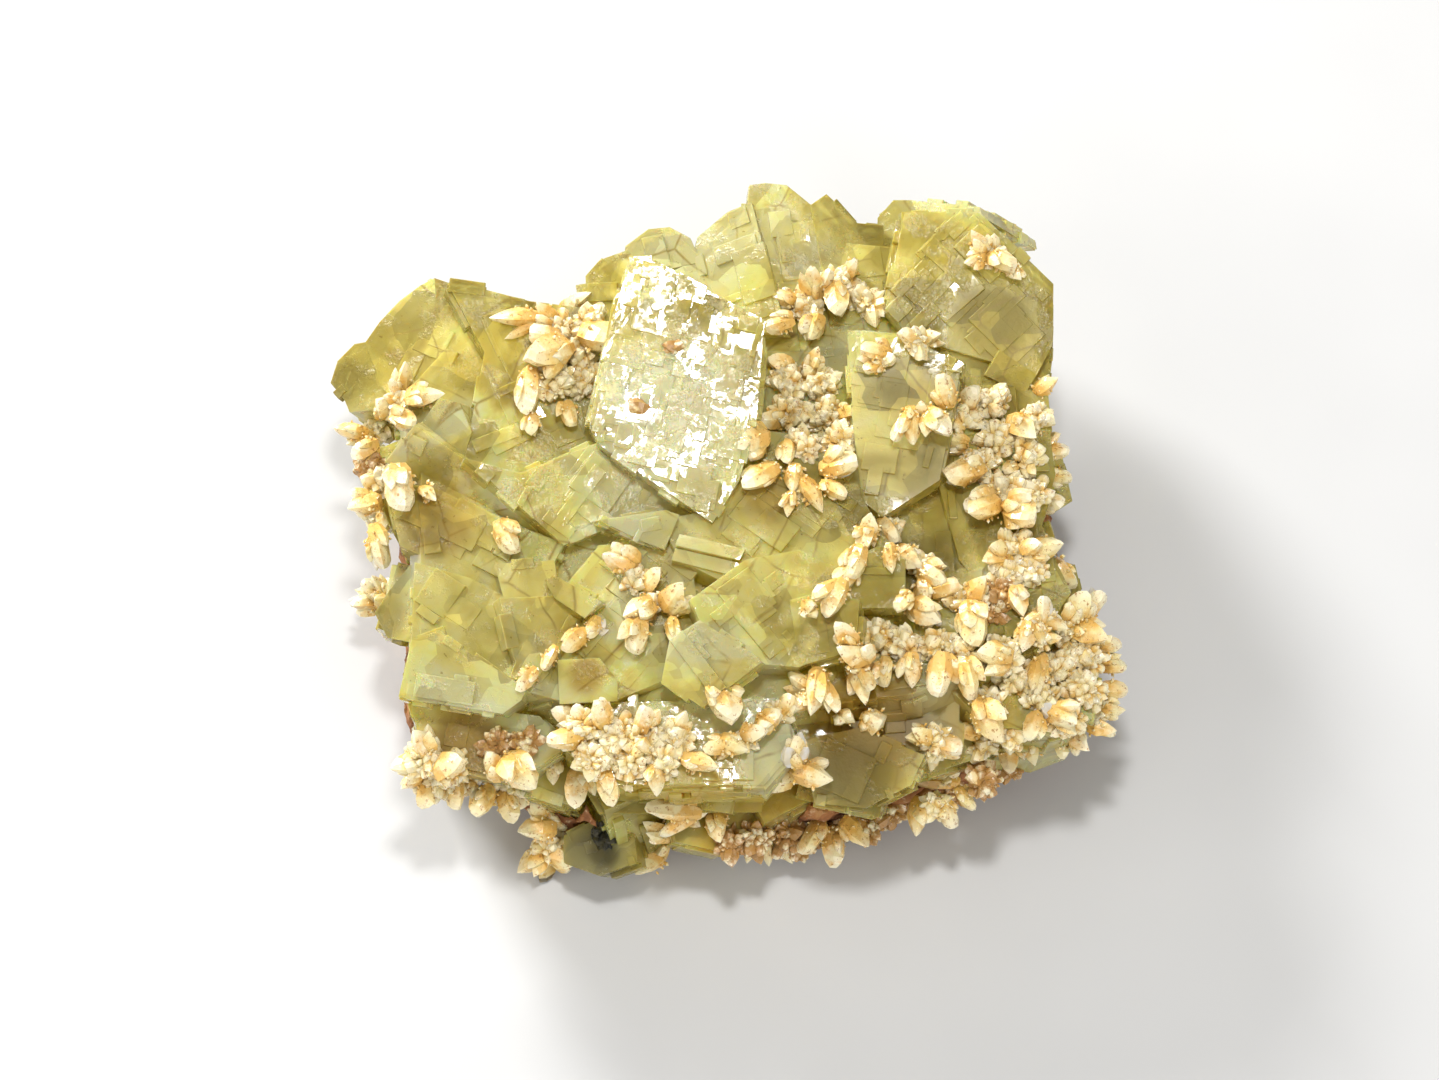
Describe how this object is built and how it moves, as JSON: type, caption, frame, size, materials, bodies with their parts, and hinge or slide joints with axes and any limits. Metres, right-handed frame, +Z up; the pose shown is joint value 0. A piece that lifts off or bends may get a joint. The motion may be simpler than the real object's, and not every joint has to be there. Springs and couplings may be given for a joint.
{
  "type": "fluorite specimen",
  "caption": "Cluster of pale yellow fluorite cubes with dog-tooth calcite on a rock matrix, cut flat underneath to rest on a shelf.",
  "frame": {"origin": "in the flat cut under the rock, below the middle of the crystals", "axes": "+Z up, away from the cut; +X along the width, to the right in the picture; +Y away from the viewer"},
  "size_m": [0.0776, 0.0707, 0.0314],
  "materials": {
    "rock": "matte",
    "fluorite": "satin",
    "calcite": "satin"
  },
  "bodies": {
    "root": {"calcite_arch_foot": "calcite", "calcite_arch_left": "calcite", "calcite_arch_right": "calcite", "calcite_back_left": "calcite", "calcite_back_middle": "calcite", "calcite_back_right": "calcite", "calcite_band_arm": "calcite", "calcite_bottom_chain": "calcite", "calcite_bottom_lens": "calcite", "calcite_bottom_oval": "calcite", "calcite_bottom_tip": "calcite", "calcite_bottom_white": "calcite", "calcite_brown_oval": "calcite", "calcite_centre": "calcite", "calcite_centre_tip": "calcite", "calcite_chain_1": "calcite", "calcite_chain_2": "calcite", "calcite_chain_3": "calcite", "calcite_chain_4": "calcite", "calcite_crust_right": "calcite", "calcite_cube_top": "calcite", "calcite_face_pair": "calcite", "calcite_fringe_left": "calcite", "calcite_fringe_middle": "calcite", "calcite_fringe_right": "calcite", "calcite_hex_left": "calcite", "calcite_hex_right": "calcite", "calcite_hex_single": "calcite", "calcite_ledge_left": "calcite", "calcite_ledge_right": "calcite", "calcite_left_edge": "calcite", "calcite_left_single": "calcite", "calcite_left_upper": "calcite", "calcite_lens_right": "calcite", "calcite_lower_band": "calcite", "calcite_lower_left": "calcite", "calcite_lower_left_2": "calcite", "calcite_lower_left_druse": "calcite", "calcite_lower_left_tip": "calcite", "calcite_lower_right": "calcite", "calcite_lower_right_2": "calcite", "calcite_lower_right_star": "calcite", "calcite_lower_right_star_2": "calcite", "calcite_lower_right_tips": "calcite", "calcite_middle": "calcite", "calcite_middle_oval": "calcite", "calcite_recess_band": "calcite", "calcite_recess_glint": "calcite", "calcite_right_band": "calcite", "calcite_right_band_2": "calcite", "calcite_right_edge": "calcite", "calcite_right_middle": "calcite", "calcite_side_left": "calcite", "calcite_top_centre": "calcite", "calcite_top_left": "calcite", "fluorite_cluster": "fluorite", "matrix_rock": "rock"}
  },
  "joints": []
}
